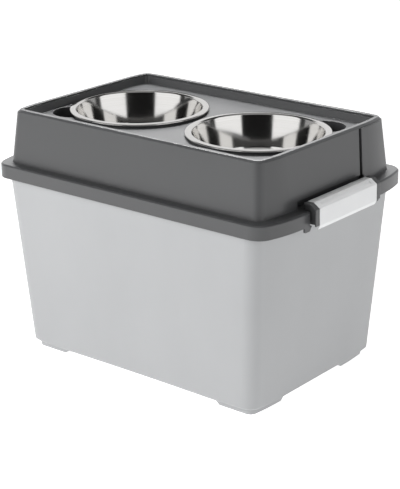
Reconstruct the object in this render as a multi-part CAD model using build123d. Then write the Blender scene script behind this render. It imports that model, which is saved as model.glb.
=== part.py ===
from build123d import *
import math
import os

# Elevated dog feeder with storage. A tapered storage bin is closed by a latched lid whose raised
# block carries two stainless bowls. Millimetres, +Z up, X along the long side, front towards -Y.
# The origin is the middle of the footprint, on the ground. Both ends of the bin and the lid are
# alike after half a turn about Z, apart from the two finger notches in the deck.

# ---- bowls and wells ---------------------------------------------------------------------------
bowl_rim_radius = 108.2        # over the rolled edge
bowl_rim_height = 6.7          # top of the rim above the deck
bowl_roll_radius = 1.5
bowl_rim_flat = 9.6            # mouth of the wall to the outside of the rolled edge
bowl_taper = 12.6              # the wall would meet the floor this much further in
bowl_depth = 60.0
bowl_sheet = 0.8
bowl_base_bevel = 9.0          # the wall turns into the floor over this length each way
bowl_gap = 14.0                # between the rims
well_clearance = 2.9           # between the mouth of the bowl and the well
well_floor_gap = 2.0
well_wall = 2.5
seat_width = 2.5               # raised ring under the rim of the bowl
notch_depth = 32.0
notch_floor_chamfer = 6.0
notch_lip = 1.0                # a notch that meets the rim cuts this far up its foot
notch_radius = 33.0
left_notch_reach = 101.0       # centre of the notch from the centre of its bowl
left_notch_angle = 222.7       # direction from the centre of its bowl, from +X
right_notch_reach = 107.0
right_notch_angle = 61.9

# ---- raised block and its sunk deck ------------------------------------------------------------
deck_end_margin = 1.3          # bowl rim to the foot of the raised rim, at the ends
deck_side_margin = 32.5        # and along the long sides
deck_depth = 15.1
deck_rim_width = 8.5           # flat top of the raised rim, over its bevels
deck_rim_draft = 3.8           # lean of the inner face of the rim
deck_corner_radius = 6.0
deck_thickness = 2.5
block_height = 82.1            # ledge to the top of the rim
block_end_draft = 9.25         # the walls stand out by this much more at their foot
block_side_draft = 9.0
block_corner_radius = 14.0
block_end_radius = 229.0       # the short sides curve in towards the corners
block_end_flat = 200.0         # straight part in the middle of a short side
block_edge_bevel = 3.0         # top of the rim, outside
slot_width = 4.2
slot_depth = 5.5
slot_offset_top = 82.0         # slot from the middle of the end, at its top
slot_offset_base = 76.5
slot_top_margin = 4.0
slot_housing = 2.0             # wall round the slot
corner_proud = 1.6             # the end wall stands out by this much beyond the slot
rib_thickness = 2.0
rib_height = 16.0
rib_spacing = 112.0            # ribs across, under the deck
rib_count = 3
long_rib_offset = 118.0        # ribs along, from the middle

# ---- skirt of the lid --------------------------------------------------------------------------
ledge_end = 19.95              # ledge round the block, at the ends
ledge_side = 16.7
lid_wall = 2.5
lid_corner_radius = 25.5
lid_end_radius = 245.0
lid_end_flat = 184.0
lid_edge_bevel = 2.0           # outer edge of the ledge
skirt_height = 21.5
skirt_overlap = 3.7            # skirt below the step of the bin
skirt_clearance = 0.8          # skirt to collar on the long sides
skirt_end_gap = 9.2            # skirt to collar at the ends, which leaves room for the catches
lip_height = 7.0               # lip that drops inside the collar
lip_thickness = 2.0
lip_clearance = 0.8

# ---- storage bin -------------------------------------------------------------------------------
bin_step_height = 285.0        # ground to the step under the collar
bin_end_draft = 19.3           # the walls lean out by this much from the floor to the step
bin_side_draft = 19.0
bin_end_step = 9.2             # wall to collar
bin_side_step = 2.7
bin_wall = 2.5
bin_floor = 3.0
bin_corner_radius = 20.5
bin_end_radius = 527.0
bin_end_flat = 158.0
bin_base_bevel = 2.6
foot_height = 10.0
foot_inset = 9.0               # foot behind the wall above it
foot_width = 11.0
foot_corner_radius = 11.5
foot_long_arm = 74.3           # straight end of a foot to the face of its other arm
foot_short_arm = 78.7
foot_ramp = 12.0               # the ends of a foot slope over this length
catch_reach = 8.4              # catch for the latch, beyond the collar
catch_width = 132.0
catch_thickness = 2.4
catch_drop = 10.3              # turned-down edge of the catch
catch_rib_thickness = 1.8
catch_rib_spacing = 22.0

# ---- seal --------------------------------------------------------------------------------------
seal_width = 3.2
seal_height = 2.9
seal_clearance = 0.3           # between the lip and the seal

# ---- latches -----------------------------------------------------------------------------------
latch_width = 144.0
latch_wall = 2.4
latch_reach = 9.8              # front face beyond the skirt
latch_top_height = 11.0        # top above the ledge
latch_top_depth = 11.0         # flat top
latch_slope_run = 10.0
latch_slope_drop = 7.0
latch_face_height = 25.0
latch_face_lean = 0.5          # lower edge of the face stands out by this much
latch_toe_height = 6.0         # the face turns in below
latch_toe_run = 3.0
latch_rib_thickness = 1.8
channel_radius = 7.0           # hollow along the slope of the latch
channel_depth = 1.1
channel_end = 9.0              # end of the latch to the end of the hollow
pivot_setback = 18.0           # pivot behind the front face
pivot_drop = 6.0               # pivot below the top of the latch
pivot_boss_radius = 4.2
trunnion_radius = 2.9
trunnion_clearance = 0.08
trunnion_bite = 2.0            # stub axle into the web of the lug
trunnion_end_gap = 0.2
latch_side_gap = 0.5
hook_thickness = 2.6
hook_clearance = 1.0           # hook under the turned-down edge of the catch
hook_bite = 4.2                # hook behind the outer face of the catch
hook_side_gap = 4.0            # hook shorter than the catch at each end
latch_inner_gap = 3.6          # ribs of the latch to the outer face of the catch
bay_ledge = 11.75              # ledge left behind the latch, from the block wall
bay_side_gap = 3.5             # web of the lug to the side of the bay
bay_corner_radius = 2.6
lug_width = 8.6
lug_web = 3.0
lug_skin = 2.0
lug_inner_gap = 1.3            # web of the lug to the collar
lug_back = 6.0                 # web behind the pivot
lug_rise = 1.5                 # bottom of the lug above the bottom of the skirt
pocket_depth = 8.0             # pocket in the wall of the block behind the latch
pocket_height = 10.5
pocket_side_gap = 1.5          # lug to the end of the pocket
tab_width = 17.0               # tab under the skirt beside each latch
tab_overlap = 2.4              # tab past the end of the skirt, towards the latch
tab_drop = 7.2
tab_lean = 4.0                 # its side towards the latch leans in by this much
tab_corner_radius = 2.5

# ---- lengths and widths that follow, from the bowls outwards ------------------------------------
bowl_spacing = 2 * bowl_rim_radius + bowl_gap
bowl_mouth_radius = bowl_rim_radius - bowl_rim_flat
bowl_base_radius = bowl_mouth_radius - bowl_taper
deck_length = bowl_spacing + 2 * (bowl_rim_radius + deck_end_margin)
deck_width = 2 * (bowl_rim_radius + deck_side_margin)
block_top_length = deck_length + 2 * (deck_rim_width + deck_rim_draft)
block_top_width = deck_width + 2 * (deck_rim_width + deck_rim_draft)
block_length = block_top_length + 2 * block_end_draft
block_width = block_top_width + 2 * block_side_draft
lid_length = block_length + 2 * ledge_end
lid_width = block_width + 2 * ledge_side
collar_length = lid_length - 2 * (lid_wall + skirt_end_gap)
collar_width = lid_width - 2 * (lid_wall + skirt_clearance)
bin_step_length = collar_length - 2 * bin_end_step
bin_step_width = collar_width - 2 * bin_side_step
bin_base_length = bin_step_length - 2 * bin_end_draft
bin_base_width = bin_step_width - 2 * bin_side_draft

# ---- levels that follow, from the ground up ----------------------------------------------------
skirt_bottom = bin_step_height - skirt_overlap
ledge_z = skirt_bottom + skirt_height
ledge_under_z = ledge_z - lid_wall
bin_top_z = ledge_under_z - seal_height
rim_top_z = ledge_z + block_height
deck_z = rim_top_z - deck_depth
deck_under_z = deck_z - deck_thickness
bowl_top_z = deck_z + bowl_rim_height
seat_z = bowl_top_z - bowl_sheet
well_floor_z = bowl_top_z - bowl_depth - well_floor_gap

# ---- places of the latches that follow ---------------------------------------------------------
catch_x = collar_length / 2 + catch_reach
catch_under_z = bin_top_z - catch_drop
latch_face_x = lid_length / 2 + latch_reach
latch_top_z = ledge_z + latch_top_height
pivot_x = latch_face_x - pivot_setback
pivot_z = latch_top_z - pivot_drop
lug_start = latch_width / 2 + latch_side_gap
lug_end = lug_start + lug_width
bay_side = lug_start + lug_web + bay_side_gap
pocket_side = lug_end + pocket_side_gap
bay_x = block_length / 2 + bay_ledge
half_turn = Rotation(0, 0, 180)


def plan_outline(length, width, corner_radius, end_radius, end_flat, z=0.0):
    """Face whose short sides are straight in the middle and curve in to round corners."""
    half_length, half_width, flat = length / 2, width / 2, end_flat / 2
    end_x = half_length - end_radius
    corner_y = half_width - corner_radius
    between = end_radius - corner_radius
    corner_x = end_x + math.sqrt(between ** 2 - (corner_y - flat) ** 2)
    turn = math.degrees(math.atan2(corner_y - flat, corner_x - end_x))

    def on_circle(x, y, radius, angle, side, way):
        run = x + radius * math.cos(math.radians(angle))
        rise = y + radius * math.sin(math.radians(angle))
        return (side * run, way * rise)

    edges = []
    for side, way in ((1, 1), (-1, 1), (-1, -1), (1, -1)):
        end_arc = [on_circle(end_x, flat, end_radius, part * turn, side, way) for part in (0, 0.5, 1)]
        bend = (turn, (turn + 90) / 2, 90)
        corner = [on_circle(corner_x, corner_y, corner_radius, angle, side, way) for angle in bend]
        edges += [ThreePointArc(*end_arc), ThreePointArc(*corner)]
    for side in (1, -1):
        edges.append(Line((side * half_length, -flat), (side * half_length, flat)))
        edges.append(Line((-corner_x, side * half_width), (corner_x, side * half_width)))
    return Pos(0, 0, z) * Face(Wire(edges))


def grown(values, amount):
    """The same outline, moved out by an amount, or in where it is negative."""
    length, width, corner_radius, end_radius, end_flat = values
    return (length + 2 * amount, width + 2 * amount, corner_radius + amount, end_radius + amount, end_flat)


def prism(values, bottom, top):
    return extrude(plan_outline(*values, z=bottom), amount=top - bottom)


def tapered(lower, bottom, upper, top):
    return loft([plan_outline(*lower, z=bottom), plan_outline(*upper, z=top)], ruled=True)


def box_between(low, high):
    """Box from its lower corner to its upper corner."""
    middle = [(start + end) / 2 for start, end in zip(low, high)]
    return Pos(*middle) * Box(*[end - start for start, end in zip(low, high)])


def side_plate(points, start, end):
    """Plate cut from an outline in X and Z, between two places along Y."""
    outline = make_face(Polyline(*points, close=True))
    return Pos(0, end, 0) * extrude(Rotation(90, 0, 0) * outline, amount=end - start, dir=(0, -1, 0))


def both_ends(shape):
    return [shape, half_turn * shape]


def both_sides(shape):
    """The shape and its mirror image across the middle plane Y = 0."""
    return [shape, mirror(shape, about=Plane.XZ)]


bin_base = (bin_base_length, bin_base_width, bin_corner_radius, bin_end_radius, bin_end_flat)
bin_step = (bin_step_length, bin_step_width, bin_corner_radius, bin_end_radius, bin_end_flat)
collar = (collar_length, collar_width, lid_corner_radius - lid_wall, lid_end_radius, lid_end_flat)
lid_outline = (lid_length, lid_width, lid_corner_radius, lid_end_radius, lid_end_flat)
block_base = (block_length, block_width, block_corner_radius, block_end_radius, block_end_flat)
block_top = (block_top_length, block_top_width, block_corner_radius, block_end_radius, block_end_flat)


# ---- storage bin -------------------------------------------------------------------------------
def make_feet():
    """Four corner feet, as a ring under the floor with gaps that have sloping ends."""
    outer = (bin_base_length - 2 * foot_inset, bin_base_width - 2 * foot_inset,
             foot_corner_radius, bin_end_radius, bin_end_flat)
    inner = (outer[0] - 2 * foot_width, outer[1] - 2 * foot_width,
             foot_corner_radius / 2, bin_end_radius, bin_end_flat)
    ring = prism(outer, 0, foot_height + bin_floor / 2) - prism(inner, -1, foot_height)
    long_gap = foot_gap(outer[0] / 2 - foot_long_arm, bin_base_width)
    short_gap = foot_gap(outer[1] / 2 - foot_short_arm, bin_base_length)
    return ring - long_gap - Rotation(0, 0, 90) * short_gap


def foot_gap(half, reach):
    """Gap between two feet, wider at the ground by the ramps at their ends."""
    ground = half + foot_ramp
    outline = [(-ground, 0), (ground, 0), (half, foot_height), (-half, foot_height)]
    return side_plate(outline, -reach, reach)


def make_catch():
    """Ledge with a turned-down edge and ribs, which the hook of a latch holds under."""
    inside_x = collar_length / 2 - bin_wall / 2
    half = catch_width / 2
    top = box_between((inside_x, -half, bin_top_z - catch_thickness), (catch_x, half, bin_top_z))
    edge = box_between((catch_x - catch_thickness, -half, catch_under_z), (catch_x, half, bin_top_z))
    pieces = [top, fillet(edge.edges().filter_by(Axis.Y).group_by(Axis.Z)[0], catch_thickness / 3)]
    count = int((half - catch_rib_thickness) // catch_rib_spacing)
    for place in range(-count, count + 1):
        y = place * catch_rib_spacing
        pieces.append(box_between((inside_x, y - catch_rib_thickness / 2, catch_under_z + 1),
                                  (catch_x - catch_thickness / 2, y + catch_rib_thickness / 2, bin_top_z)))
    return pieces


def make_storage_bin():
    walls = tapered(bin_base, foot_height, bin_step, bin_step_height)
    walls = chamfer(walls.faces().sort_by(Axis.Z)[0].edges(), bin_base_bevel)
    collar_bottom = bin_step_height - bin_wall
    shell = walls + prism(collar, collar_bottom, bin_top_z)
    room = tapered(grown(bin_base, -bin_wall), foot_height + bin_floor,
                   grown(bin_step, -bin_wall), bin_step_height)
    shell -= room
    shell -= prism(grown(collar, -bin_wall), bin_step_height, bin_top_z + 1)
    shell += make_feet()
    for piece in make_catch():
        shell += both_ends(piece)
    return shell


# ---- lid ---------------------------------------------------------------------------------------
def latch_profile():
    """Outside of a latch in X and Z, from its inner top edge down to its toe."""
    slope_z = latch_top_z - latch_slope_drop
    toe_x = latch_face_x + latch_face_lean
    return [(latch_face_x - latch_slope_run - latch_top_depth, latch_top_z),
            (latch_face_x - latch_slope_run, latch_top_z),
            (latch_face_x, slope_z),
            (toe_x, slope_z - latch_face_height),
            (toe_x - latch_toe_run, slope_z - latch_face_height - latch_toe_height)]


def bent_sheet(points, thickness, start, end):
    """Sheet of one thickness that follows the points on their inner side, along Y."""
    line = Polyline(*points)
    section = make_face(offset(line, amount=thickness, side=Side.RIGHT, kind=Kind.INTERSECTION))
    return Pos(0, end, 0) * extrude(Rotation(90, 0, 0) * section, amount=end - start, dir=(0, -1, 0))


def make_lug():
    """Bracket beside a latch: a web with the pivot hole and a skin that carries on its outline."""
    lug_bottom = skirt_bottom + lug_rise
    outside = latch_profile()
    slope_foot, face_foot = outside[2], outside[3]
    share = (slope_foot[1] - lug_bottom) / (slope_foot[1] - face_foot[1])
    lower = (slope_foot[0] + share * (face_foot[0] - slope_foot[0]), lug_bottom)
    points = outside[:3] + [lower]
    skin = bent_sheet(points, lug_skin, lug_start, lug_end)
    back_x = pivot_x - lug_back
    gap_x = collar_length / 2 + lug_inner_gap
    web = side_plate(points + [(gap_x, lug_bottom), (gap_x, ledge_under_z), (back_x, ledge_under_z),
                               (back_x, pivot_z + lug_skin)], lug_start, lug_start + lug_web)
    hole = Pos(pivot_x, lug_start, pivot_z) * Rotation(90, 0, 0) * Cylinder(
        trunnion_radius + trunnion_clearance, 2 * (trunnion_bite + trunnion_end_gap))
    return skin + web - hole


def make_skirt():
    """Ledge and skirt, open under the block, with a bay in each short side for a latch."""
    def bay(inset):
        cut = box_between((bay_x - inset, -bay_side - inset, skirt_bottom - 1),
                          (lid_length, bay_side + inset, ledge_z + 1))
        return cut

    outer = prism(lid_outline, skirt_bottom, ledge_z)
    inner = prism(grown(lid_outline, -lid_wall), skirt_bottom - 1, ledge_under_z)
    for cut in both_ends(bay(0)):
        outer -= cut
    for cut in both_ends(bay(lid_wall)):
        inner -= cut
    outer = fillet(upright_edges(outer, lid_length / 2), bay_corner_radius)
    outer = chamfer(outer.faces().sort_by(Axis.Z)[-1].edges(), lid_edge_bevel)
    middle = box_between((-bay_x, -bay_side - 2 * lid_wall, skirt_bottom - 1),
                         (bay_x, bay_side + 2 * lid_wall, ledge_under_z))
    mouth = prism(grown(block_base, -lid_wall), ledge_under_z, ledge_z)
    return outer - inner - middle - mouth


def upright_edges(shape, half_length):
    """Upright edges where a bay opens through an end face."""
    return [edge for edge in shape.edges().filter_by(Axis.Z)
            if abs(abs(edge.center().X) - half_length) < 0.01
            and abs(edge.center().Y) < bay_side + 2 * lid_wall]


def make_tab():
    """Tab that hangs from the skirt beside a bay, with rounded lower corners."""
    bottom = skirt_bottom - tab_drop
    start = bay_side - tab_overlap
    end = start + tab_width
    outline = make_face(Polyline((start, skirt_bottom), (end, skirt_bottom), (end, bottom),
                                 (start + tab_lean, bottom), close=True))
    outline = fillet(outline.vertices().group_by(Axis.Y)[0], tab_corner_radius)
    return extrude(Plane.YZ.offset(lid_length / 2 - lid_wall) * outline, amount=lid_wall)


def slot_box(width, depth, bottom, top):
    """Narrow leaning box in the end wall at +X, from the outside of the wall inwards."""
    rise = rim_top_z - ledge_z
    lean = math.degrees(math.atan2(slot_offset_top - slot_offset_base, rise))
    outside = block_length / 2 + 5
    inside = block_top_length / 2 - depth
    bar = Pos((outside + inside) / 2, 0, (top + bottom) / 2 - ledge_z) * Box(
        outside - inside, width, top - bottom)
    return Pos(0, slot_offset_base, ledge_z) * Rotation(-lean, 0, 0) * bar


def make_block():
    """Raised block as a shell: tapered walls, rim, sunk deck, wells, notches, slots and pockets."""
    outside = tapered(block_base, ledge_under_z, block_top, rim_top_z)
    outside = chamfer(outside.faces().sort_by(Axis.Z)[-1].edges(), block_edge_bevel)
    proud_base = (block_length + 2 * corner_proud,) + block_base[1:]
    proud_top = (block_top_length + 2 * corner_proud,) + block_top[1:]
    slot_top = rim_top_z - slot_top_margin
    proud = tapered(proud_base, ledge_under_z, proud_top, rim_top_z)
    beyond = slot_box(block_width, block_length, ledge_under_z - 20, slot_top)
    beyond = Pos(0, block_width / 2 + slot_width / 2, 0) * beyond
    corner = proud & beyond & box_between((0, 0, ledge_under_z), (block_length, block_width, slot_top))
    cavity = tapered(grown(block_base, -lid_wall), ledge_under_z,
                     grown(block_top, -lid_wall), rim_top_z - lid_wall)
    recess_top = grown(block_top, -deck_rim_width)
    recess_foot = grown(block_top, -deck_rim_width - deck_rim_draft)
    recess_top = recess_top[:2] + (deck_corner_radius,) + recess_top[3:]
    recess_foot = recess_foot[:2] + (deck_corner_radius,) + recess_foot[3:]
    tray = tapered(grown(recess_foot, deck_thickness), deck_under_z,
                   grown(recess_top, deck_thickness), rim_top_z - block_edge_bevel)
    recess = tapered(recess_foot, deck_z, recess_top, rim_top_z)
    shell = outside + both_ends(corner) - cavity + tray
    housing = slot_box(slot_width + 2 * slot_housing, slot_depth + slot_housing, ledge_under_z, slot_top)
    pocket_top = ledge_z + pocket_height
    pocket_back = block_length / 2 - pocket_depth
    pocket_box = box_between((pocket_back - lid_wall, -pocket_side - lid_wall, ledge_under_z),
                             (block_length / 2, pocket_side + lid_wall, pocket_top + lid_wall))
    for inner in (housing, pocket_box):
        shell += both_ends(inner & outside)
    shell += make_ribs() & cavity
    shell += make_well_solids()
    shell -= recess
    slot = slot_box(slot_width, slot_depth, pocket_top - 1, slot_top)
    pocket = box_between((pocket_back, -pocket_side, ledge_z), (block_length, pocket_side, pocket_top))
    for cut in (slot, pocket):
        shell -= both_ends(cut)
    shell += make_seats()
    return shell - make_well_rooms()


def make_ribs():
    """Stiffening ribs under the deck, across and along."""
    bottom = deck_under_z - rib_height
    ribs = []
    for place in range(rib_count):
        x = (place - (rib_count - 1) / 2) * rib_spacing
        ribs.append(box_between((x - rib_thickness / 2, -block_width / 2, bottom),
                                (x + rib_thickness / 2, block_width / 2, deck_under_z)))
    for y in (-long_rib_offset, long_rib_offset):
        ribs.append(box_between((-block_length / 2, y - rib_thickness / 2, bottom),
                                (block_length / 2, y + rib_thickness / 2, deck_under_z)))
    return Part() + ribs


def bowl_places():
    return [Pos(-bowl_spacing / 2, 0, 0), Pos(bowl_spacing / 2, 0, 0)]


def notch_places():
    """Centre of each finger notch."""
    places = []
    for side, reach, angle in ((-1, left_notch_reach, left_notch_angle),
                               (1, right_notch_reach, right_notch_angle)):
        x = side * bowl_spacing / 2 + reach * math.cos(math.radians(angle))
        y = reach * math.sin(math.radians(angle))
        places.append(Pos(x, y, 0))
    return places


def cylinder_between(radius, bottom, top):
    return Pos(0, 0, (bottom + top) / 2) * Cylinder(radius, top - bottom)


def make_well_solids():
    well_radius = bowl_mouth_radius + well_clearance + well_wall
    well = cylinder_between(well_radius, well_floor_z - well_wall, deck_z)
    solids = [place * well for place in bowl_places()]
    cup = cylinder_between(notch_radius + well_wall, deck_z - notch_depth - well_wall, deck_z)
    cup = chamfer(cup.edges().group_by(Axis.Z)[0], notch_floor_chamfer)
    return solids + [place * cup for place in notch_places()]


def make_well_rooms():
    room = cylinder_between(bowl_mouth_radius + well_clearance, well_floor_z, bowl_top_z)
    rooms = [place * room for place in bowl_places()]
    cup = cylinder_between(notch_radius, deck_z - notch_depth, deck_z + notch_lip)
    cup = chamfer(cup.edges().group_by(Axis.Z)[0], notch_floor_chamfer)
    return Part() + rooms + [place * cup for place in notch_places()]


def make_seats():
    """Raised ring round each well, which carries the rim of the bowl."""
    inner = bowl_mouth_radius + well_clearance
    outer = inner + seat_width
    seats = []
    for place in bowl_places():
        seats.append(place * cylinder_between(outer, deck_under_z, seat_z))
    return seats


def make_feeder_lid():
    lid = make_skirt() + make_block()
    lip = (collar_length - 2 * (bin_wall + lip_clearance), collar_width - 2 * (bin_wall + lip_clearance),
           collar[2] - bin_wall - lip_clearance, lid_end_radius, lid_end_flat)
    lid += prism(lip, ledge_under_z - lip_height, ledge_z - lid_wall / 2) - prism(
        grown(lip, -lip_thickness), ledge_under_z - lip_height - 1, ledge_z)
    for piece in both_sides(make_lug()) + both_sides(make_tab()):
        lid += both_ends(piece)
    return lid


# ---- seal, bowls and latches -------------------------------------------------------------------
def make_lid_gasket():
    inset = bin_wall + lip_clearance - seal_clearance
    inner = (collar_length - 2 * inset, collar_width - 2 * inset, collar[2] - inset,
             lid_end_radius, lid_end_flat)
    return prism(grown(inner, seal_width), bin_top_z, ledge_under_z) - prism(
        inner, bin_top_z - 1, ledge_under_z + 1)


def make_bowl():
    """Spun bowl: flat floor, steep wall, flat rim and rolled edge, of one sheet."""
    half = bowl_sheet / 2
    rim_z = bowl_top_z - half
    floor_z = bowl_top_z - bowl_depth + half
    slope = (bowl_mouth_radius - bowl_base_radius) / (rim_z - floor_z)
    edge_radius = bowl_rim_radius - half
    line = Polyline((0, floor_z), (bowl_base_radius - bowl_base_bevel, floor_z),
                    (bowl_base_radius + slope * bowl_base_bevel, floor_z + bowl_base_bevel),
                    (bowl_mouth_radius, rim_z), (edge_radius - bowl_roll_radius, rim_z),
                    (edge_radius, rim_z - bowl_roll_radius), (edge_radius, bowl_top_z - 2 * bowl_roll_radius))
    section = Rotation(90, 0, 0) * trace(line, line_width=bowl_sheet)
    return revolve(section, axis=Axis.Z)


def make_channel():
    """Shallow hollow along the slope of a latch, which the fingers press on."""
    top, foot = [Vector(x, z) for x, z in latch_profile()[1:3]]
    outward = (foot - top).rotate(Axis.Z, 90).normalized()
    axis = (top + foot) / 2 + outward * (channel_radius - channel_depth)
    length = latch_width - 2 * channel_end
    return Pos(axis.X, 0, axis.Y) * Rotation(90, 0, 0) * Cylinder(channel_radius, length)


def make_latch():
    half = latch_width / 2
    outside = latch_profile()
    shell = bent_sheet(outside, latch_wall, -half, half)
    inner_x = catch_x + latch_inner_gap
    hook_top = catch_under_z - hook_clearance
    hook_bottom = hook_top - hook_thickness
    plate = outside[:4] + [(inner_x, outside[3][1]), (inner_x, bin_top_z),
                           (pivot_x, pivot_z - pivot_boss_radius),
                           (outside[0][0], pivot_z)]
    for start, end in ((-half, -half + latch_wall), (half - latch_wall, half)):
        shell += side_plate(plate, start, end)
    for y in (-half / 2, 0, half / 2):
        shell += side_plate(plate, y - latch_rib_thickness / 2, y + latch_rib_thickness / 2)
    shell -= make_channel()
    hook_half = catch_width / 2 - hook_side_gap
    hook = box_between((catch_x - hook_bite, -hook_half, hook_bottom), (latch_face_x, hook_half, hook_top))
    shell += hook
    trunnion_reach = half + latch_side_gap + trunnion_bite
    boss = Rotation(90, 0, 0) * Cylinder(pivot_boss_radius, latch_width)
    boss -= Box(2 * latch_width, latch_width - 4 * latch_wall, 2 * latch_width)
    trunnion = Rotation(90, 0, 0) * Cylinder(trunnion_radius, 2 * trunnion_reach)
    trunnion -= Box(2 * latch_width, latch_width - 4 * latch_wall, 2 * latch_width)
    return shell + Pos(pivot_x, 0, pivot_z) * boss + Pos(pivot_x, 0, pivot_z) * trunnion


def main():
    os.makedirs("parts", exist_ok=True)
    bowl = make_bowl()
    latch = make_latch()
    left, right = bowl_places()
    pieces = {
        "storage_bin": make_storage_bin(),
        "feeder_lid": make_feeder_lid(),
        "lid_gasket": make_lid_gasket(),
        "bowl_left": left * bowl,
        "bowl_right": right * bowl,
        "latch_left": half_turn * latch,
        "latch_right": latch,
    }
    for name, shape in pieces.items():
        export_step(shape, os.path.join("parts", name + ".step"))
        print(name, len(shape.solids()), round(shape.volume))


main()
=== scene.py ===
import math

import bmesh
import bpy
from mathutils import Matrix, Vector


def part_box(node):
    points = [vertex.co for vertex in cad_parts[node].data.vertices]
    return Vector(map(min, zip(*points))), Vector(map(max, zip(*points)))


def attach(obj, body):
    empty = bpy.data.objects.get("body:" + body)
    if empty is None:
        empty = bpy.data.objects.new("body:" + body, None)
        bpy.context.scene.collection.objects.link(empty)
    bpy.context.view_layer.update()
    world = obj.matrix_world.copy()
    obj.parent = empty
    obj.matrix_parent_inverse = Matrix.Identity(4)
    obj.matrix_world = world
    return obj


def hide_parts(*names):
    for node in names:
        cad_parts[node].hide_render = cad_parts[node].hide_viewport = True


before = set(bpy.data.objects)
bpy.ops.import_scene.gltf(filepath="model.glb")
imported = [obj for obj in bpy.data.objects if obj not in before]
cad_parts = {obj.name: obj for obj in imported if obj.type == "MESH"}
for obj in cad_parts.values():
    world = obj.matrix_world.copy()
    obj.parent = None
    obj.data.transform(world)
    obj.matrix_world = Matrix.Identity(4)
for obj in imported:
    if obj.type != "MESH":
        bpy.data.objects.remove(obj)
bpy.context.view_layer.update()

MM = 0.001

# ---- camera: metres and degrees in the part's frame ---------------------------------------------
CAMERA_PLACE = (1.4278, -1.7475, 0.9809)
CAMERA_AZIMUTH = 39.189        # from the front, towards +X
CAMERA_ELEVATION = 19.678
CAMERA_ROLL = -0.554
CAMERA_LENS = 113.9            # mm, on the 36 mm sensor that spans the image's height
CAMERA_CLIP = (0.01, 100)
SENSOR = 36.0


def add_camera():
    azimuth, elevation, roll = map(math.radians, (CAMERA_AZIMUTH, CAMERA_ELEVATION, CAMERA_ROLL))
    back = Vector((math.sin(azimuth) * math.cos(elevation), -math.cos(azimuth) * math.cos(elevation),
                   math.sin(elevation)))
    right = (-back).cross(Vector((0, 0, 1))).normalized()
    up = right.cross(-back)
    turned_right = right * math.cos(roll) + up * math.sin(roll)
    turned_up = up * math.cos(roll) - right * math.sin(roll)
    data = bpy.data.cameras.new("camera")
    data.lens, data.sensor_width = CAMERA_LENS, SENSOR
    data.clip_start, data.clip_end = CAMERA_CLIP
    camera = bpy.data.objects.new("camera", data)
    axes = Matrix((turned_right, turned_up, back)).transposed()
    camera.matrix_world = Matrix.Translation(CAMERA_PLACE) @ axes.to_4x4()
    bpy.context.collection.objects.link(camera)
    bpy.context.scene.camera = camera


# ---- material nodes -----------------------------------------------------------------------------
NOISE_LOW, NOISE_HIGH = 0.3, 0.7     # most values of a noise lie between these
NOISE_ROUGHNESS = 0.55
BEVEL_SAMPLES = 8


def new_material(name, color, roughness, metallic=0.0, **shader_values):
    material = bpy.data.materials.new(name)
    material.use_nodes = True
    shader = material.node_tree.nodes["Principled BSDF"]
    shader.inputs["Base Color"].default_value = (*color, 1)
    shader.inputs["Roughness"].default_value = roughness
    shader.inputs["Metallic"].default_value = metallic
    for socket, value in shader_values.items():
        shader.inputs[socket.replace("_", " ")].default_value = value
    return material, shader


def add_node(material, kind, **values):
    """Adds a node. Each value is one of its settings, or else one of its inputs."""
    node = material.node_tree.nodes.new(kind)
    for name, value in values.items():
        if hasattr(node, name):
            setattr(node, name, value)
        else:
            node.inputs[name.replace("_", " ")].default_value = value
    return node


def join(material, source, target):
    material.node_tree.links.new(source, target)


def object_noise(material, scale, stretch=(1, 1, 1), detail=3.0):
    """Noise in the part's own metres, so that its grain has a real size."""
    place = add_node(material, "ShaderNodeTexCoord")
    spread = add_node(material, "ShaderNodeMapping")
    spread.inputs["Scale"].default_value = stretch
    noise = add_node(material, "ShaderNodeTexNoise", Scale=scale, Detail=detail, Roughness=NOISE_ROUGHNESS)
    join(material, place.outputs["Object"], spread.inputs["Vector"])
    join(material, spread.outputs["Vector"], noise.inputs["Vector"])
    return noise.outputs["Fac"]


def ranged(material, value, low, high, start=NOISE_LOW, end=NOISE_HIGH):
    """Goes from low to high while a value goes from start to end."""
    node = add_node(material, "ShaderNodeMapRange")
    node.inputs["From Min"].default_value = start
    node.inputs["From Max"].default_value = end
    node.inputs["To Min"].default_value = low
    node.inputs["To Max"].default_value = high
    join(material, value, node.inputs["Value"])
    return node.outputs["Result"]


def two_tones(material, value, dark, light):
    ramp = add_node(material, "ShaderNodeValToRGB")
    for element, color, position in zip(ramp.color_ramp.elements, (dark, light), (NOISE_LOW, NOISE_HIGH)):
        element.color = (*color, 1)
        element.position = position
    join(material, value, ramp.inputs["Fac"])
    return ramp.outputs["Color"]


def bumps(material, shader, layers, edge=0.0):
    """Stacks height layers, each a value and its depth in metres, over edges softened by a radius."""
    normal = None
    if edge:
        normal = add_node(material, "ShaderNodeBevel", samples=BEVEL_SAMPLES, Radius=edge).outputs["Normal"]
    for value, depth in layers:
        bump = add_node(material, "ShaderNodeBump", Distance=depth)
        join(material, value, bump.inputs["Height"])
        if normal:
            join(material, normal, bump.inputs["Normal"])
        normal = bump.outputs["Normal"]
    join(material, normal, shader.inputs["Normal"])


def scaled(color, factor):
    return tuple(channel * factor for channel in color)


# ---- plastics and rubber: noise scales are in features for each metre ----------------------------
PLASTIC_IOR = 1.5
GLOSS_SPREAD = 0.025             # how much the roughness of a moulding varies
TINT_SPREAD = 0.03               # and its colour
CLOUD_SCALE, CLOUD_STRETCH = 9.0, (1, 1, 0.5)
GRAIN_SCALE, FINE_GRAIN_SCALE = 1400.0, 3200.0
DUST_SCALE, DUST_DEPTH = 300.0, 0.04 * MM
RUBBER_ROUGHNESS = 0.75

BIN_GREY = (0.358, 0.363, 0.370)
LID_GREY = (0.062, 0.063, 0.065)
LATCH_WHITE = (0.68, 0.685, 0.69)
SEAL_BLACK = (0.02, 0.02, 0.021)


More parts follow.
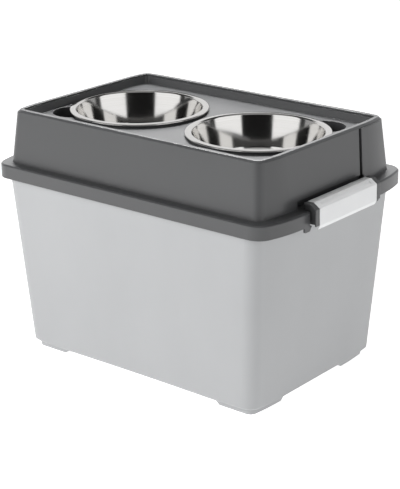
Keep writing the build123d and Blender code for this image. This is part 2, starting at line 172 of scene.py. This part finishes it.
def plastic(name, color, roughness, grain_depth, edge):
    """Moulded plastic: a fine sparked grain, faint flow clouds, uneven gloss and soft edges."""
    material, shader = new_material(name, color, roughness, IOR=PLASTIC_IOR)
    clouds = object_noise(material, CLOUD_SCALE, CLOUD_STRETCH, detail=4.0)
    grain = object_noise(material, GRAIN_SCALE, detail=2.0)
    fine = object_noise(material, FINE_GRAIN_SCALE, detail=1.0)
    tint = two_tones(material, clouds, scaled(color, 1 - TINT_SPREAD), scaled(color, 1 + TINT_SPREAD))
    gloss = ranged(material, clouds, roughness - GLOSS_SPREAD, roughness + GLOSS_SPREAD)
    join(material, tint, shader.inputs["Base Color"])
    join(material, gloss, shader.inputs["Roughness"])
    bumps(material, shader, [(grain, grain_depth), (fine, grain_depth / 2)], edge)
    return material


def rubber(name, color):
    """Matt rubber with a little dust."""
    material, shader = new_material(name, color, RUBBER_ROUGHNESS)
    dust = object_noise(material, DUST_SCALE)
    tint = two_tones(material, dust, scaled(color, 0.8), scaled(color, 1.3))
    join(material, tint, shader.inputs["Base Color"])
    bumps(material, shader, [(dust, DUST_DEPTH)])
    return material


# ---- steel --------------------------------------------------------------------------------------
STEEL = (0.80, 0.79, 0.77)
STEEL_DARK, STEEL_LIGHT = (0.77, 0.76, 0.74), (0.82, 0.81, 0.80)
STEEL_ROUGHNESS = 0.10
STEEL_ANISOTROPY = 0.35
SMUDGED_LOW, SMUDGED_HIGH = 0.07, 0.12
SMUDGE_SCALE = 25.0
RING_SCALE, RING_DEPTH = 900.0, 0.006 * MM
WORN_ROUGHNESS = 0.14            # the floor of a bowl is duller than its wall
WORN_HEIGHT = 6 * MM


def spun_steel(name, centre_x, floor):
    """Polished stainless steel with fine rings about the axis of the bowl."""
    material, shader = new_material(name, STEEL, STEEL_ROUGHNESS, metallic=1.0, Anisotropic=STEEL_ANISOTROPY)
    place = add_node(material, "ShaderNodeTexCoord")
    centred = add_node(material, "ShaderNodeVectorMath", operation="SUBTRACT")
    centred.inputs[1].default_value = (centre_x, 0, 0)
    split = add_node(material, "ShaderNodeSeparateXYZ")
    flat = add_node(material, "ShaderNodeCombineXYZ")
    length = add_node(material, "ShaderNodeVectorMath", operation="LENGTH")
    rings = add_node(material, "ShaderNodeCombineXYZ")
    join(material, place.outputs["Object"], centred.inputs[0])
    join(material, centred.outputs["Vector"], split.inputs["Vector"])
    join(material, split.outputs["X"], flat.inputs["X"])
    join(material, split.outputs["Y"], flat.inputs["Y"])
    join(material, flat.outputs["Vector"], length.inputs[0])
    join(material, length.outputs["Value"], rings.inputs["X"])
    join(material, split.outputs["Z"], rings.inputs["Y"])
    lines = add_node(material, "ShaderNodeTexNoise", Scale=RING_SCALE, Detail=2.0)
    join(material, rings.outputs["Vector"], lines.inputs["Vector"])

    smudge = object_noise(material, SMUDGE_SCALE)
    worn = ranged(material, split.outputs["Z"], WORN_ROUGHNESS, 0, floor, floor + WORN_HEIGHT)
    rough = add_node(material, "ShaderNodeMath", operation="ADD")
    join(material, ranged(material, smudge, SMUDGED_LOW, SMUDGED_HIGH), rough.inputs[0])
    join(material, worn, rough.inputs[1])
    join(material, rough.outputs["Value"], shader.inputs["Roughness"])
    tint = two_tones(material, lines.outputs["Fac"], STEEL_DARK, STEEL_LIGHT)
    join(material, tint, shader.inputs["Base Color"])
    bumps(material, shader, [(lines.outputs["Fac"], RING_DEPTH)])
    return material


# ---- bowls: spun sheet with rounded bends and a rolled edge --------------------------------------
BOWL_RIM_RADIUS = 108.2 * MM
BOWL_ROLL_RADIUS = 1.5 * MM
BOWL_MOUTH_RADIUS = 98.6 * MM
BOWL_BASE_RADIUS = 86.0 * MM
BOWL_SHEET = 0.8 * MM
BOWL_MOUTH_ROUND = 3.5 * MM
BOWL_RIM_FALL = 0.7 * MM         # the rim slopes down to its rolled edge
BOWL_BASE_ROUND = 13.0 * MM
ROLL_START, ROLL_SWEEP = 90, 260     # degrees, from the top of the rolled edge and under it
ROLL_STEPS = 16
BEND_STEPS = 10
LATHE_STEPS = 192
ON_AXIS = 0.001 * MM             # a point nearer to the axis than this lies on it


def bend(points, radii):
    """Rounds the inner corners of an open outline, with a radius for each."""
    outline = [Vector(points[0])]
    for before, corner, after, radius in zip(points, points[1:], points[2:], radii):
        corner = Vector(corner)
        inward = (Vector(before) - corner).normalized()
        outward = (Vector(after) - corner).normalized()
        half = inward.angle(outward) / 2
        centre = corner + (inward + outward).normalized() * radius / math.sin(half)
        first = corner + inward * radius / math.tan(half) - centre
        last = corner + outward * radius / math.tan(half) - centre
        turn = first.angle_signed(last)
        for step in range(BEND_STEPS + 1):
            angle = -turn * step / BEND_STEPS
            outline.append(centre + Matrix.Rotation(angle, 2) @ first)
    outline.append(Vector(points[-1]))
    return outline


def lathe(name, outline, centre):
    """Turns an outline of radius and height about an upright axis."""
    mesh = bmesh.new()
    rings = []
    for radius, height in outline:
        if radius < ON_AXIS:
            rings.append([mesh.verts.new((centre[0], centre[1], height))])
            continue
        ring = []
        for step in range(LATHE_STEPS):
            angle = 2 * math.pi * step / LATHE_STEPS
            ring.append(mesh.verts.new((centre[0] + radius * math.cos(angle),
                                        centre[1] + radius * math.sin(angle), height)))
        rings.append(ring)
    for lower, upper in zip(rings, rings[1:]):
        for step in range(LATHE_STEPS):
            after = (step + 1) % LATHE_STEPS
            if len(lower) == 1:
                mesh.faces.new((lower[0], upper[step], upper[after]))
            elif len(upper) == 1:
                mesh.faces.new((lower[step], lower[after], upper[0]))
            else:
                mesh.faces.new((lower[step], lower[after], upper[after], upper[step]))
    bmesh.ops.recalc_face_normals(mesh, faces=mesh.faces)
    data = bpy.data.meshes.new(name)
    mesh.to_mesh(data)
    mesh.free()
    piece = bpy.data.objects.new(name, data)
    bpy.context.collection.objects.link(piece)
    for face in data.polygons:
        face.use_smooth = True
    return piece


def rolled_edge(roll_x, edge_top):
    """Points round the rolled edge, from just past its top to its end underneath."""
    points = []
    for step in range(1, ROLL_STEPS + 1):
        angle = math.radians(ROLL_START - ROLL_SWEEP * step / ROLL_STEPS)
        points.append(Vector((roll_x + BOWL_ROLL_RADIUS * math.cos(angle),
                              edge_top - BOWL_ROLL_RADIUS + BOWL_ROLL_RADIUS * math.sin(angle))))
    return points


def make_bowl(node, body):
    """A spun bowl in the place of its CAD node."""
    low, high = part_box(node)
    centre = ((low[0] + high[0]) / 2, (low[1] + high[1]) / 2)
    top, floor = high[2], low[2] + BOWL_SHEET
    roll_x, edge_top = BOWL_RIM_RADIUS - BOWL_ROLL_RADIUS, top - BOWL_RIM_FALL
    inside = bend([(0, floor), (BOWL_BASE_RADIUS - BOWL_SHEET, floor),
                   (BOWL_MOUTH_RADIUS - BOWL_SHEET, top), (roll_x, edge_top)],
                  [BOWL_BASE_ROUND, BOWL_MOUTH_ROUND])
    under = bend([(roll_x - BOWL_ROLL_RADIUS, edge_top - BOWL_SHEET), (BOWL_MOUTH_RADIUS, top - BOWL_SHEET),
                  (BOWL_BASE_RADIUS, floor - BOWL_SHEET), (0, floor - BOWL_SHEET)],
                 [BOWL_MOUTH_ROUND - BOWL_SHEET / 2, BOWL_BASE_ROUND + BOWL_SHEET])
    piece = lathe(node + "_spun", inside + rolled_edge(roll_x, edge_top) + under, centre)
    piece.data.materials.append(spun_steel(node + "_steel", centre[0], floor))
    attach(piece, body)
    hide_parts(node)


# ---- stage --------------------------------------------------------------------------------------
FLOOR_SIZE = 40                  # metres
FLOOR_WHITE = (0.9, 0.9, 0.9)
FLOOR_ROUGHNESS = 0.9
FLOOR_GLOW = 0.76                # the floor is a lit white table
FLOOR_GAP = 0.2 * MM             # keeps the floor off the undersides of the feet


def add_floor():
    """A white floor that shows from above and lets a view from below through."""
    bpy.ops.mesh.primitive_plane_add(size=FLOOR_SIZE, location=(0, 0, -FLOOR_GAP))
    floor = bpy.context.object
    floor.name = "floor"
    material, shader = new_material("floor_white", FLOOR_WHITE, FLOOR_ROUGHNESS)
    shader.inputs["Specular IOR Level"].default_value = 0.0
    shader.inputs["Emission Color"].default_value = (1, 1, 1, 1)
    shader.inputs["Emission Strength"].default_value = FLOOR_GLOW
    side = add_node(material, "ShaderNodeNewGeometry")
    clear = add_node(material, "ShaderNodeBsdfTransparent")
    one_way = add_node(material, "ShaderNodeMixShader")
    join(material, side.outputs["Backfacing"], one_way.inputs["Fac"])
    join(material, shader.outputs["BSDF"], one_way.inputs[1])
    join(material, clear.outputs["BSDF"], one_way.inputs[2])
    join(material, one_way.outputs["Shader"], material.node_tree.nodes["Material Output"].inputs["Surface"])
    floor.data.materials.append(material)


# ---- studio: the world, as softly edged patches of light ----------------------------------------
# Azimuths are measured from the camera's side, the same both ways, and elevations from the horizon,
# in degrees. Each patch is its least and greatest azimuth, its least and greatest elevation, and its
# brightness. A patch whose limit lies well past 0, 180 or 90 has no edge there.
STUDIO_GREY = 0.05
STUDIO_PATCHES = (
    (28, 80, -10, 40, 1.0),      # softboxes either side of the camera
    (-10, 27, -10, 32, 0.01),    # the dark room behind the camera
    (-10, 27, 32, 55, 0.4),      # and the lighter wall above it
    (92, 125, -10, 24, 0.35),    # walls beside the backdrop
    (125, 190, -10, 34, 0.8),    # grey backdrop
    (-10, 190, 60, 100, 0.3),    # ceiling
)
PATCH_SOFTNESS = 2.5
BACKGROUND_WHITE = 1.2           # what the camera itself sees of the world


def world_math(tree, operation, *values):
    """A math node whose inputs are sockets or numbers."""
    node = tree.nodes.new("ShaderNodeMath")
    node.operation = operation
    for socket, value in zip(node.inputs, values):
        if isinstance(value, (int, float)):
            socket.default_value = value
        else:
            tree.links.new(value, socket)
    return node.outputs[0]


def world_step(tree, value, edge):
    """0 below an edge and 1 above it, with a soft change between."""
    node = tree.nodes.new("ShaderNodeMapRange")
    node.interpolation_type = "SMOOTHSTEP"
    node.inputs["From Min"].default_value = math.radians(edge - PATCH_SOFTNESS)
    node.inputs["From Max"].default_value = math.radians(edge + PATCH_SOFTNESS)
    tree.links.new(value, node.inputs["Value"])
    return node.outputs["Result"]


def world_band(tree, value, low, high):
    """1 between two edges and 0 elsewhere."""
    below_high = world_math(tree, "SUBTRACT", 1, world_step(tree, value, high))
    return world_math(tree, "MULTIPLY", world_step(tree, value, low), below_high)


def add_world():
    """Reflections and light come from the studio, and the camera sees plain white."""
    world = bpy.data.worlds.new("studio")
    bpy.context.scene.world = world
    world.use_nodes = True
    tree = world.node_tree
    place = tree.nodes.new("ShaderNodeTexCoord")
    turned = tree.nodes.new("ShaderNodeVectorRotate")
    turned.rotation_type = "Z_AXIS"
    turned.inputs["Angle"].default_value = math.radians(90 - CAMERA_AZIMUTH)
    tree.links.new(place.outputs["Generated"], turned.inputs["Vector"])
    split = tree.nodes.new("ShaderNodeSeparateXYZ")
    tree.links.new(turned.outputs["Vector"], split.inputs["Vector"])
    azimuth = world_math(tree, "ARCTAN2", split.outputs["Y"], split.outputs["X"])
    azimuth = world_math(tree, "ABSOLUTE", azimuth)
    elevation = world_math(tree, "ARCSINE", split.outputs["Z"])
    light = STUDIO_GREY
    for left, right, low, high, brightness in STUDIO_PATCHES:
        mask = world_math(tree, "MULTIPLY", world_band(tree, azimuth, left, right),
                          world_band(tree, elevation, low, high))
        kept = world_math(tree, "MULTIPLY", light, world_math(tree, "SUBTRACT", 1, mask))
        light = world_math(tree, "MULTIPLY_ADD", mask, brightness, kept)
    studio = tree.nodes["Background"]
    tree.links.new(light, studio.inputs["Strength"])
    white = tree.nodes.new("ShaderNodeBackground")
    white.inputs["Strength"].default_value = BACKGROUND_WHITE
    for background in (studio, white):
        background.inputs["Color"].default_value = (1, 1, 1, 1)
    rays = tree.nodes.new("ShaderNodeLightPath")
    seen = tree.nodes.new("ShaderNodeMixShader")
    tree.links.new(rays.outputs["Is Camera Ray"], seen.inputs["Fac"])
    tree.links.new(studio.outputs["Background"], seen.inputs[1])
    tree.links.new(white.outputs["Background"], seen.inputs[2])
    tree.links.new(seen.outputs["Shader"], tree.nodes["World Output"].inputs["Surface"])


# ---- lamps: metres and watts --------------------------------------------------------------------
LAMP_TARGET = (0, 0, 0.2)        # the middle of the part
BACK_LIT_NODES = ("storage_bin", "feeder_lid", "latch_right")


def add_area(name, place, size, power, receivers=()):
    """A softbox aimed at the part. One with receivers lights and gleams on these objects alone."""
    data = bpy.data.lights.new(name, "AREA")
    data.shape, data.size, data.size_y = "RECTANGLE", *size
    data.energy = power
    light = bpy.data.objects.new(name, data)
    light.location = place
    direction = Vector(LAMP_TARGET) - Vector(place)
    light.rotation_euler = direction.to_track_quat("-Z", "Y").to_euler()
    light.visible_glossy = bool(receivers)
    if receivers:
        lit = bpy.data.collections.new(name + "_receivers")
        for piece in receivers:
            lit.objects.link(piece)
        light.light_linking.receiver_collection = lit
    bpy.context.collection.objects.link(light)


def add_lights():
    add_area("key_left", place=(-1.2, -2.4, 1.6), size=(1.6, 1.6), power=61)
    add_area("side_right", place=(2.6, 0.2, 0.9), size=(1.2, 1.2), power=11)
    back_lit = [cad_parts[node] for node in BACK_LIT_NODES]
    add_area("back_top", place=(-0.95, 1.15, 2.2), size=(1.4, 1.0), power=165, receivers=back_lit)


# ---- the object ---------------------------------------------------------------------------------
def dress(node, material):
    """Gives a CAD node one material."""
    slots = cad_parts[node].data.materials
    slots.clear()
    slots.append(material)


def dress_nodes():
    """Gives every CAD node that shows its material."""
    dress("storage_bin", plastic("bin_plastic", BIN_GREY, roughness=0.45, grain_depth=0.02 * MM,
                                 edge=1.0 * MM))
    # With GLOSS_SPREAD the lid's roughness stays above 0.27. Below that, denoised renders showed thin lines.
    dress("feeder_lid", plastic("lid_plastic", LID_GREY, roughness=0.30, grain_depth=0.02 * MM,
                                edge=1.2 * MM))
    latch_plastic = plastic("latch_plastic", LATCH_WHITE, roughness=0.35, grain_depth=0.01 * MM,
                            edge=1.0 * MM)
    for node in ("latch_left", "latch_right"):
        dress(node, latch_plastic)
    dress("lid_gasket", rubber("seal_rubber", SEAL_BLACK))


def main():
    bpy.context.scene.view_settings.view_transform = "Standard"
    add_camera()
    add_world()
    add_floor()
    add_lights()
    dress_nodes()
    make_bowl("bowl_left", "left_bowl")
    make_bowl("bowl_right", "right_bowl")


main()
